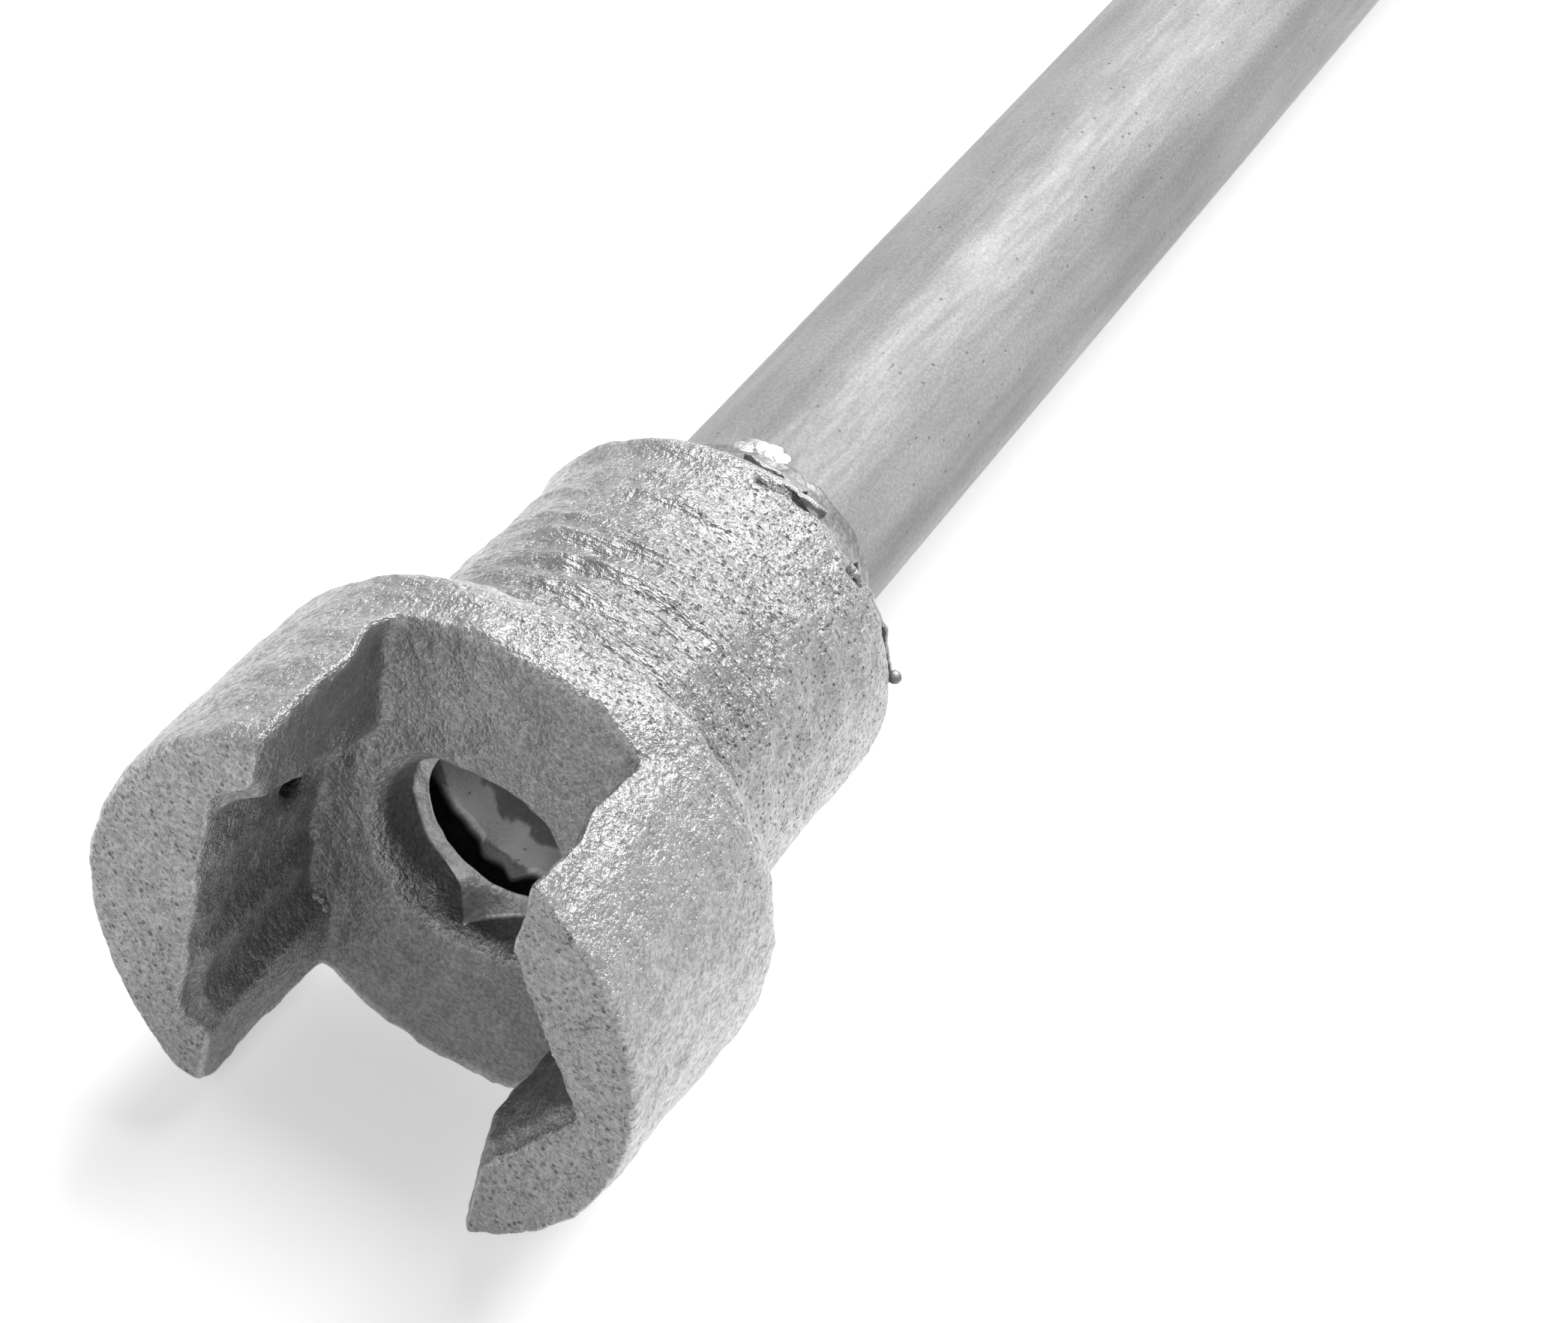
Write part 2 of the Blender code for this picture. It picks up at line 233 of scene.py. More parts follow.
def make_piece(name, points, quads, finish):
    """An object with these points and quads, faces outwards, shaded smooth, at the origin."""
    if signed_volume(points, quads) < 0.0:
        quads = quads[:, ::-1]
    mesh = bpy.data.meshes.new(name)
    mesh.vertices.add(len(points))
    mesh.vertices.foreach_set("co", points.astype(np.float32).ravel())
    mesh.loops.add(quads.size)
    mesh.loops.foreach_set("vertex_index", quads.astype(np.int32).ravel())
    mesh.polygons.add(len(quads))
    mesh.polygons.foreach_set("loop_start", np.arange(0, quads.size, 4, dtype=np.int32))
    mesh.update(calc_edges=True)
    mesh.validate()
    mesh.shade_smooth()
    mesh.materials.append(finish)
    piece = bpy.data.objects.new(name, mesh)
    bpy.context.scene.collection.objects.link(piece)
    return piece


def weld_poles(piece, distance=MERGE_DISTANCE):
    """Merge points that lie on each other, where a grid's end rows shrink to a pole."""
    bm = bmesh.new()
    bm.from_mesh(piece.data)
    bmesh.ops.remove_doubles(bm, verts=bm.verts, dist=distance)
    bmesh.ops.dissolve_degenerate(bm, edges=bm.edges, dist=distance / 10.0)
    bm.to_mesh(piece.data)
    bm.free()
    piece.data.shade_smooth()


def paint(piece, name, values):
    """Store one number for each point, for the material to read as an attribute."""
    layer = piece.data.attributes.new(name, "FLOAT", "POINT")
    layer.data.foreach_set("value", values.astype(np.float32))


# %% [markdown]
# ## Writing materials in a few lines
#
# A node tree is easier to read as a recipe than as a list of links. This helper adds one
# node, sets its options, and fills its inputs: a number is typed in, and another node's
# output is linked. Everything is grey, because zinc has next to no hue of its own.

# %% Material helpers


def new_finish(name, metallic):
    """A material, its tree, its Principled shader, and the point's place in object space."""
    material = bpy.data.materials.new(name)
    material.use_nodes = True
    tree = material.node_tree
    shader = tree.nodes["Principled BSDF"]
    shader.inputs["Metallic"].default_value = metallic
    place = tree.nodes.new("ShaderNodeTexCoord").outputs["Object"]
    return material, tree, shader, place


def add_node(tree, kind, output, options=None, **inputs):
    """Add a node; inputs named with _ for spaces take a number or another node's output."""
    made = tree.nodes.new(kind)
    for key, value in (options or {}).items():
        setattr(made, key, value)
    for key, value in inputs.items():
        socket = made.inputs[key.replace("_", " ")]
        if isinstance(value, bpy.types.NodeSocket):
            tree.links.new(value, socket)
        else:
            socket.default_value = value
    return made.outputs[output]


def speckle(tree, place, size, detail=2.0, rough=0.5):
    """Noise whose blotches are about this wide, from 0 to 1."""
    return add_node(
        tree, "ShaderNodeTexNoise", "Fac", Vector=place, Scale=1.0 / size, Detail=detail, Roughness=rough
    )


def remap(tree, value, low, high, to_low, to_high):
    """Stretch a range to another, with a soft S, and hold the ends."""
    return add_node(
        tree, "ShaderNodeMapRange", "Result", {"interpolation_type": "SMOOTHSTEP"}, Value=value,
        From_Min=low, From_Max=high, To_Min=to_low, To_Max=to_high,
    )


def combine(tree, kind, first, second):
    """Add, multiply or otherwise combine two values."""
    made = tree.nodes.new("ShaderNodeMath")
    made.operation = kind
    for socket, value in zip(made.inputs, (first, second)):
        if isinstance(value, bpy.types.NodeSocket):
            tree.links.new(value, socket)
        else:
            socket.default_value = value
    return made.outputs[0]


def scaled(tree, value, factor):
    """Multiply a value by a number."""
    return combine(tree, "MULTIPLY", value, factor)


def tone_by(tree, grey, *layers):
    """Multiply a grey by each layer in turn: a value, its range, and the factors at both ends."""
    for layer in layers:
        grey = combine(tree, "MULTIPLY", grey, remap(tree, *layer))
    return grey


def painted(tree, name):
    """The numbers that paint stored under this name."""
    return add_node(tree, "ShaderNodeAttribute", "Fac", {"attribute_name": name})


def stretched(tree, place, along_x, across):
    """Object coordinates counted in these lengths: one along X, the other across it."""
    scale = (1.0 / along_x, 1.0 / across, 1.0 / across)
    return add_node(tree, "ShaderNodeMapping", "Vector", Vector=place, Scale=scale)


def pits(tree, place, spacing, radius):
    """1 in small round pits, 0 between them: near to the random centre of a cell."""
    distance = add_node(
        tree, "ShaderNodeTexVoronoi", "Distance", Vector=place, Scale=1.0 / spacing, Randomness=1.0
    )
    return remap(tree, distance, radius * 0.45 / spacing, radius / spacing, 1.0, 0.0)


def roughen(tree, shader, height, depth):
    """Bump the shader's normal with a height map, in metres of depth."""
    normal = add_node(tree, "ShaderNodeBump", "Normal", Height=height, Distance=depth, Strength=1.0)
    tree.links.new(normal, shader.inputs["Normal"])


def colour_with(tree, shader, grey, roughness):
    """Link a grey value to the base colour, and a value to the roughness."""
    tree.links.new(grey, shader.inputs["Base Color"])
    tree.links.new(roughness, shader.inputs["Roughness"])


# %% [markdown]
# ## The zinc on the castings
#
# Hot-dip zinc on sand-cast iron freezes into a grainy skin about as coarse as sugar. Light
# catches single crystals, small pits stay dark where the flux burnt out, and painted shade
# darkens the slot, pockets and bore. Flat paint would lose all of it. Three sizes of noise
# give the crystals, and random cells give the pits. Four painted attributes say where shade
# is painted, where it is pitted most, where flow ridges run, and where it was ground before the bath.

# %% Casting finish


def casting_finish():
    """Grey = crystals x grains x clouds, darker in pits and in painted shade; the same values bump it."""
    material, tree, shader, place = new_finish("galvanised_casting", 0.9)
    pebbles = add_node(tree, "ShaderNodeTexVoronoi", "Distance", Vector=place, Scale=1.0 / (1.7 * MM))
    crystals = speckle(tree, place, 0.9 * MM, 3.0, 0.65)
    grains = speckle(tree, place, 2.6 * MM, 3.0, 0.6)
    clouds = speckle(tree, place, 14.0 * MM, 2.0)
    flow = speckle(tree, stretched(tree, place, 1.5 * MM, 7.0 * MM), 1.0, 3.0, 0.6)
    painted_shade = painted(tree, "painted_shade")
    pitting = painted(tree, "pitting")
    ridged = painted(tree, "ridged")
    ground = painted(tree, "ground")
    round_holes = pits(tree, stretched(tree, place, 1.6 * MM, 2.2 * MM), 1.0, 0.24)
    sponge = remap(tree, speckle(tree, place, 0.8 * MM, 2.0), 0.60, 0.68, 0.0, 0.8)
    holes = combine(tree, "MULTIPLY", combine(tree, "MAXIMUM", round_holes, sponge), pitting)
    toned = tone_by(
        tree,
        remap(tree, crystals, 0.30, 0.70, 0.32, 0.48),
        (grains, 0.25, 0.75, 0.88, 1.10),
        (clouds, 0.25, 0.75, 0.94, 1.06),
        (holes, 0.0, 1.0, 1.0, 0.42),
        # painted shade: darker low in the slot, pockets and bore; near black in cracks, the blow hole and
        # behind the zinc ring
        (painted_shade, 0.0, 1.0, 1.0, 0.65),
        (painted_shade, 1.2, 2.0, 1.0, 0.10),
        (ground, 0.0, 1.0, 1.0, 0.68),
    )
    dull = remap(tree, crystals, 0.30, 0.70, 0.55, 0.35)
    dull = combine(tree, "ADD", dull, scaled(tree, holes, 0.2))
    dull = combine(tree, "ADD", dull, scaled(tree, painted_shade, 0.08))
    colour_with(tree, shader, toned, dull)
    relief = combine(tree, "ADD", crystals, scaled(tree, grains, 1.6))
    relief = combine(tree, "SUBTRACT", relief, scaled(tree, pebbles, 0.20))
    relief = combine(tree, "ADD", relief, scaled(tree, combine(tree, "MULTIPLY", flow, ridged), 3.6))
    relief = combine(tree, "SUBTRACT", relief, scaled(tree, holes, 0.9))
    roughen(tree, shader, relief, 0.55 * MM)
    return material


CASTING = casting_finish()
print("finish made:", CASTING.name)

# %% [markdown]
# ## The castings
#
# A sand casting has no sharp edge and no true surface: corners are rounded by the mould,
# and the zinc adds ridges where it drained. Modelling that by hand would take days. The
# frame already holds the true shape, so a copy of it is merged, turned into an even skin
# of small quads with a voxel remesh, smoothed a little to round the edges, and then moved
# along its normals by layers of noise. The outline, slot and pockets stay where they are.

# %% An even skin over a copy of the frame's head
VOXEL = 1.0 * MM
SMOOTHING_ROUNDS = 5


def even_skin(node):
    """Merge a copy of the node, remesh it in even voxels, and return its points and quads."""
    source = bpy.data.objects.new("casting_core", frame["nodes"][node].data.copy())
    bpy.context.scene.collection.objects.link(source)
    weld_poles(source, MERGE_DISTANCE / 10.0)
    remesh = source.modifiers.new("even_skin", "REMESH")
    remesh.mode = "VOXEL"
    remesh.voxel_size = VOXEL
    depsgraph = bpy.context.evaluated_depsgraph_get()
    skin = source.evaluated_get(depsgraph).to_mesh()
    points = np.empty(len(skin.vertices) * 3)
    skin.vertices.foreach_get("co", points)
    quads = np.empty(len(skin.polygons) * 4, dtype=np.int32)
    skin.polygons.foreach_get("vertices", quads)
    bpy.data.objects.remove(source, do_unlink=True)
    return points.reshape(-1, 3), quads.reshape(-1, 4)


def neighbour_mean(points, quads):
    """The mean of each point's neighbours along the quads' edges."""
    start = quads.ravel()
    end = np.roll(quads, -1, axis=1).ravel()
    count = np.bincount(start, minlength=len(points)) + np.bincount(end, minlength=len(points))
    mean = np.empty_like(points)
    for axis in range(3):
        forth = np.bincount(start, weights=points[end, axis], minlength=len(points))
        back = np.bincount(end, weights=points[start, axis], minlength=len(points))
        mean[:, axis] = (forth + back) / count
    return mean


def soften(points, quads, rounds):
    """Move towards the neighbours' mean, then a little less far back, so nothing shrinks."""
    for _ in range(rounds):
        points = points + 0.60 * (neighbour_mean(points, quads) - points)
        points = points - 0.35 * (neighbour_mean(points, quads) - points)
    return points


def skin_normals(points, quads):
    """Each point's normal: the sum of the cross products of its quads' diagonals, made unit length."""
    across = np.cross(
        points[quads[:, 2]] - points[quads[:, 0]], points[quads[:, 3]] - points[quads[:, 1]]
    )
    normals = np.empty_like(points)
    for axis in range(3):
        weights = np.repeat(across[:, axis], 4)
        normals[:, axis] = np.bincount(quads.ravel(), weights=weights, minlength=len(points))
    return normals / np.maximum(np.linalg.norm(normals, axis=1, keepdims=True), 1e-12)


def round_off(points):
    """Turn the 48-sided outline into a circle: divide by the facet's distance at that angle."""
    angle, _ = round_axis(points)
    facet = math.tau / FACETS
    off_middle = np.mod(angle + facet / 2.0, facet) - facet / 2.0
    stretch = np.cos(off_middle) / FACET
    return points * np.column_stack((np.ones_like(stretch), stretch, stretch))


# %% [markdown]
# ### What the zinc and the mould left on it
#
# The relief is a sum of causes, each with its own place. Everywhere: sand grain in three
# sizes. On the sleeve's top: ridges that run round it, tallest near the cup, with four
# long folds. On the cup's top band: one coarse scab. Along the sleeve's rear rim and where
# the sleeve meets the cup: cracks, cut in and darkened with painted shade. On the jaws'
# front faces almost nothing, because they were ground flat before dipping.

# %% Relief of a casting
# (height, size of the hills), from the swell of the mould to single grains of sand
GRAIN_LAYERS = ((0.30 * MM, 13.0 * MM), (0.34 * MM, 4.6 * MM), (0.20 * MM, 2.1 * MM))
RIDGE_HEIGHT = 0.60 * MM
# (x where the ridges begin, x where they are full), from the rear and from the front
RIDGES_FROM_REAR = (-124.0 * MM, -76.0 * MM)
RIDGES_FROM_FRONT = (-44.0 * MM, -56.0 * MM)
# (place along the axis, middle angle, spread of angle, height)
FOLDS = (
    (-80.5 * MM, 96.0 * DEG, 26.0 * DEG, 1.5 * MM),
    (-88.0 * MM, 112.0 * DEG, 20.0 * DEG, 0.9 * MM),
    (-72.5 * MM, 104.0 * DEG, 20.0 * DEG, 0.9 * MM),
    (-103.5 * MM, 94.0 * DEG, 18.0 * DEG, 0.9 * MM),
)
# (first angle, last angle, x at the first, x at the last, half width, depth)
CRACKS = (
    (90.0, 70.0, -117.8, -121.5, 0.75, 1.6),
    (54.0, 45.0, -118.4, -119.8, 1.4, 2.2),
    (45.0, 8.0, -120.4, -121.5, 0.45, 0.9),
    (77.0, 60.0, -61.4, -62.6, 0.7, 1.2),
    (60.0, 12.0, -62.6, -62.8, 0.45, 0.7),
)
CHAMFER_RADIUS = 21.2 * MM
BLOW_HOLE = np.array((BACK_WALL + 8.0 * MM, -SLOT_HALF - 8.5 * MM, 6.5 * MM))
SCAB_X = -49.5 * MM
SCAB_ANGLE = 80.0 * DEG
SLEEVE_RADIUS = 39.0 * MM
# Sideways drift of the near sleeve for each unit of length behind LEAN_START, and its way
LEAN_SLOPE = 0.027
LEAN_START = -20.0 * MM
LEAN_WAY = np.array((0.0, 0.95, -0.31))


def faces_front(points, normals, tilt):
    """1 on the jaws' front faces, where the normal's X is well above this tilt."""
    return step(normals[:, 0], tilt, 0.95) * step(points[:, 0], RIGHT_FACE - 1.5 * MM, RIGHT_FACE)


def cast_relief(points, normals, seed):
    """Height along the normal, in metres, and how pitted and how ridged the skin is, from 0 to 1."""
    x = points[:, 0]
    angle, radius = round_axis(points)
    outward = (normals[:, 1] * points[:, 1] + normals[:, 2] * points[:, 2]) / np.maximum(radius, MM)
    outside = step(outward, 0.3, 0.8) * step(radius, 30.0 * MM, 36.0 * MM)
    front = faces_front(points, normals, 0.7)
    topside = step(np.sin(angle), -0.1, 0.75)

    height = np.zeros(len(points))
    for i, (tall, size) in enumerate(GRAIN_LAYERS):
        height += tall * hills(points, size, seed + i) * (1.0 - 0.75 * front)

    round_way = angle * SLEEVE_RADIUS
    drift = 3.5 * MM * hills(np.column_stack((x, round_way, 0.0 * x)), 20.0 * MM, seed + 3)
    ridge_place = np.column_stack(((x + drift) / 4.6, round_way / 17.0, 0.0 * x))
    ridges = 1.0 - 2.4 * np.abs(hills(ridge_place, 1.0 * MM, seed + 4))
    small_place = np.column_stack(((x + drift) / 2.2, round_way / 7.0, 0.0 * x))
    ridges += 0.45 * hills(small_place, 1.0 * MM, seed + 6)
    near_cup = step(x, *RIDGES_FROM_REAR) * step(x, *RIDGES_FROM_FRONT)
    back_wall = step(normals[:, 0], 0.5, 0.9) * step(x, BACK_WALL + 5.0 * MM, BACK_WALL + 3.0 * MM)
    ridged = np.maximum(outside * topside * (0.25 + 0.75 * near_cup), 0.30 * back_wall)
    height += RIDGE_HEIGHT * ridged * ridges

    for fold_x, fold_angle, fold_spread, fold_height in FOLDS:
        bend = fold_x + drift * 0.35
        crest = bump_at(x, bend, 1.5 * MM) - 0.7 * bump_at(x, bend + 2.8 * MM, 1.2 * MM)
        height += outside * fold_height * crest * bump_at(angle, fold_angle, fold_spread)
    scab = bump_at(x, SCAB_X, 4.5 * MM) * bump_at(angle, SCAB_ANGLE, 8.0 * DEG)
    scab *= step(radius, 48.0 * MM, 50.0 * MM)
    height += scab * (1.6 * MM * hills(points, 2.2 * MM, seed + 5) - 0.6 * MM)

    right = step(np.cos(angle), -0.25, 0.35)
    pitting = outside * (0.35 + 0.65 * right * step(x, -30.0 * MM, -62.0 * MM)) + 0.8 * scab
    pitting = np.clip(pitting + 0.7 * front, 0.0, 1.0)
    return height, pitting, ridged


def crack_depth(points, seed):
    """Depth and painted shade: full on each crack's line, straight in angle and x; less at sides and
    ends.
    """
    x = points[:, 0] / MM
    angle, radius = round_axis(points)
    angle = angle / DEG
    outer = step(radius, 34.0 * MM, 36.0 * MM)
    jagged = 0.7 * hills(points, 2.5 * MM, seed)
    depth = np.zeros(len(points))
    dark = np.zeros(len(points))
    for first, last, first_x, last_x, half_width, deep in CRACKS:
        along = np.clip((angle - first) / (last - first), 0.0, 1.0)
        inside = step(angle, first + 1.5, first - 1.5) * step(angle, last - 1.5, last + 1.5)
        across = np.abs(x - (first_x + (last_x - first_x) * along) + jagged) / half_width
        line = np.exp(-(across**2)) * inside * outer
        depth = np.maximum(depth, deep * MM * line)
        dark = np.maximum(dark, step(line, 0.25, 0.75))
    return depth, dark


def undercut_at(angle):
    """1 on the side where the weld undercut the sleeve's rim, 0 on the rest of it."""
    return step(np.cos(angle - 12.0 * DEG), 0.25, 0.75)


def rim_shrink(angle, seed):
    """The share by which the rear rim draws in; it is below zero where the rim flares out."""
    flared = step(np.cos(angle - 145.0 * DEG), 0.5, 0.95)
    uneven = 0.012 * hills(on_circle(angle), 0.42, seed)
    return 0.032 * undercut_at(angle) - 0.024 - 0.018 * flared + uneven


def rim_wander(points, seed):
    """The sleeve's rear edge was dressed by hand: pull it in and forward by soft amounts round it."""
    angle, radius = round_axis(points)
    near_rim = step(points[:, 0], SLEEVE_REAR + 9.0 * MM, SLEEVE_REAR)
    near_rim *= step(radius, 28.0 * MM, 38.0 * MM)
    shrink = 1.0 - near_rim * rim_shrink(angle, seed)
    shift = near_rim * 0.8 * MM * hills(on_circle(angle), 0.4, seed + 1)
    return np.column_stack((points[:, 0] + shift, points[:, 1] * shrink, points[:, 2] * shrink))


def wavy_edges(points, seed):
    """Points near the slot's upper edges move about a millimetre in soft waves, the rest a quarter."""
    flat_front = step(points[:, 0], RIGHT_FACE - 5.0 * MM, RIGHT_FACE)
    near_slot = step(np.abs(points[:, 1]), SLOT_HALF + 9.0 * MM, SLOT_HALF + 3.0 * MM)
    near_slot *= step(points[:, 0], BACK_WALL - 9.0 * MM, BACK_WALL - 3.0 * MM)
    near_slot *= step(points[:, 2], -40.0 * MM, -15.0 * MM)
    amount = (0.25 + 1.0 * near_slot) * (1.0 - 0.6 * flat_front) * MM
    waves = [hills(points, 8.0 * MM, seed + axis) for axis in range(3)]
    return points + amount[:, None] * np.column_stack(waves) * np.array((0.6, 1.0, 1.0))


def lean_of(points, end):
    """The near sleeve's outside drifts off the tube's line towards the rear; its socket doesn't."""
    if end == "far":
        return np.zeros_like(points)
    _, radius = round_axis(points)
    drift = LEAN_SLOPE * np.clip(LEAN_START - points[:, 0], 0.0, None)
    drift *= step(radius, 25.5 * MM, 33.0 * MM)
    return drift[:, None] * LEAN_WAY


def painted_shade_of(points):
    """Painted shade: 1 low in the slot, pockets and bore, less high up and on the chamfer, 0 outside; 1.5
    more behind the zinc ring.
    """
    _, radius = round_axis(points)
    face = np.where(points[:, 1] > 0.0, RIGHT_FACE, 0.0)
    behind_face = step(points[:, 0], face - 0.6 * MM, face - 1.8 * MM)
    in_cup = step(points[:, 0], BACK_WALL - 3.0 * MM, BACK_WALL - 1.5 * MM)
    under_rim = step(radius, CUP_RADIUS - 0.8 * MM, CUP_RADIUS - 3.5 * MM)
    in_bore = step(radius, 26.0 * MM, 24.0 * MM) * step(points[:, 0], face, face - 2.0 * MM)
    painted_shade = np.maximum(behind_face * in_cup * under_rim, in_bore)
    painted_shade *= 0.55 + 0.45 * step(points[:, 2], 16.0 * MM, -14.0 * MM)
    on_chamfer = bump_at(points[:, 0], BACK_WALL - 1.0 * MM, 1.6 * MM)
    on_chamfer *= bump_at(radius, CHAMFER_RADIUS, 1.6 * MM)
    painted_shade *= 1.0 - 0.8 * on_chamfer
    # painted shadow in the gap behind the zinc ring
    behind_ring = step(radius, 26.5 * MM, 25.5 * MM) * step(points[:, 0], -51.5 * MM, -53.5 * MM)
    return painted_shade + 1.5 * behind_ring


def blow_hole_depth(points):
    """1 in the middle of the gas hole high in the left pocket's rear corner, fading to 0 at its rim."""
    uneven = 1.0 + 0.25 * hills(points, 3.0 * MM, 31)
    return step(np.linalg.norm(points - BLOW_HOLE, axis=1) * uneven, 5.6 * MM, 2.6 * MM)


# %% Make both castings
BLOW_HOLE_DEPTH = 3.5 * MM


def make_casting(end, seed):
    """The frame's head with an even skin, rounded edges and its relief."""
    node = end + "_fork_head"
    core, quads = even_skin(node)
    points = soften(round_off(into_head(core, end)), quads, SMOOTHING_ROUNDS)
    points = wavy_edges(rim_wander(points, seed + 20), seed + 40)
    points = points + lean_of(points, end)
    normals = skin_normals(points, quads)
    height, pitting, ridged = cast_relief(points, normals, seed)
    painted_shade = painted_shade_of(points)
    ground = faces_front(points, normals, 0.75)
    if end == "near":
        hollow = blow_hole_depth(points)
        crack, dark = crack_depth(points - lean_of(points, end), seed + 50)
        height = height - BLOW_HOLE_DEPTH * hollow - crack
        # painted shade: the blow hole and the cracks are darkened as well as cut in
        painted_shade = painted_shade + hollow + 1.9 * dark
    points = points + normals * height[:, None]
    piece = make_piece(end + "_fork_casting", into_frame(points, end), quads, CASTING)
    paint(piece, "pitting", pitting)
    paint(piece, "ridged", ridged)
    paint(piece, "painted_shade", painted_shade)
    paint(piece, "ground", ground)
    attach(piece, "root")
    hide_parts(node)
    lowest, highest = height.min() / MM, height.max() / MM
    print(f"{piece.name}: {len(quads) * 2} triangles, relief {lowest:.2f} to {highest:.2f} mm")


make_casting("near", 100)
make_casting("far", 200)

# %% [markdown]
# ## The zinc on the tube
#
# Drawn tube is smooth, so its zinc is too: long soft streaks where it ran off, faint dull
# bands, and a scatter of tiny pits and scuffs. The streaks are noise read through
# coordinates squeezed along X. The bore is painted pale and less metallic, as painted light.
# Its first millimetre is darker as painted shade, and past the first centimetre the bath left
# a ragged-edged dull patch. One painted attribute marks the bore, and one marks the shade and the patch.

# %% Tube finish


def tube_finish():
    """Grey = streaks x clouds x frost, darker in pits and scuffs; painted light makes the bore pale,
    painted shade and a dull patch darken it.
    """
    material, tree, shader, place = new_finish("galvanised_tube", 0.55)
    long_streaks = speckle(tree, stretched(tree, place, 150.0 * MM, 11.0 * MM), 1.0, 3.0, 0.5)
    short_streaks = speckle(tree, stretched(tree, place, 14.0 * MM, 1.6 * MM), 1.0, 2.0)
    frost = speckle(tree, place, 0.7 * MM, 2.0, 0.6)
    clouds = speckle(tree, stretched(tree, place, 34.0 * MM, 15.0 * MM), 1.0, 2.0)
    specks = pits(tree, place, 4.5 * MM, 0.5 * MM)
    scuff_seed = speckle(tree, stretched(tree, place, 9.0 * MM, 1.1 * MM), 1.0, 4.0, 0.7)
    scuffs = remap(tree, scuff_seed, 0.68, 0.76, 0.0, 1.0)
    bore_shade_and_dull = painted(tree, "bore_shade_and_dull")
    bore_painted_light = painted(tree, "bore_painted_light")
    toned = tone_by(
        tree,
        remap(tree, long_streaks, 0.30, 0.70, 0.26, 0.36),
        (clouds, 0.25, 0.75, 0.90, 1.07),
        (frost, 0.25, 0.75, 0.86, 1.12),
        (specks, 0.0, 1.0, 1.0, 0.6),
        (scuffs, 0.0, 1.0, 1.0, 0.72),
        # painted light: the bore is paler and, below, less metallic; painted shade at its first
        # millimetre and the dull patch darken it
        (bore_painted_light, 0.0, 1.0, 1.0, 3.4),
        (bore_shade_and_dull, 0.0, 1.0, 1.0, 0.34),
    )
    tree.links.new(remap(tree, bore_painted_light, 0.0, 1.0, 0.55, 0.1), shader.inputs["Metallic"])
    dull = remap(tree, short_streaks, 0.25, 0.75, 0.64, 0.76)
    dull = combine(tree, "ADD", dull, scaled(tree, scuffs, 0.15))
    dull = combine(tree, "ADD", dull, scaled(tree, bore_shade_and_dull, 0.3))
    colour_with(tree, shader, toned, dull)
    relief = combine(tree, "ADD", frost, scaled(tree, short_streaks, 1.2))
    relief = combine(tree, "SUBTRACT", relief, combine(tree, "ADD", specks, scuffs))
    roughen(tree, shader, relief, 0.10 * MM)
    return material


TUBE_ZINC = tube_finish()

# %% [markdown]
# ## The tube
#
# A tube is a profile carried round a circle: out along the outside, over the end, back
# along the bore, and over the other end. It could be a cylinder primitive, but then the
# streaks would have nothing to catch them. Here the outside swells and sinks by a tenth
# of a millimetre in long waves, and the ends, cut with a torch, are ragged.

# %% Tube surface
TUBE_WALL = 3.2 * MM
TUBE_ROWS = 176
OUTSIDE_STEPS = 400
BORE_STEPS = 150
RAGGED = 1.6 * MM
# Waves along the tube are this many times longer than across it
WAVE_STRETCH = 24.0


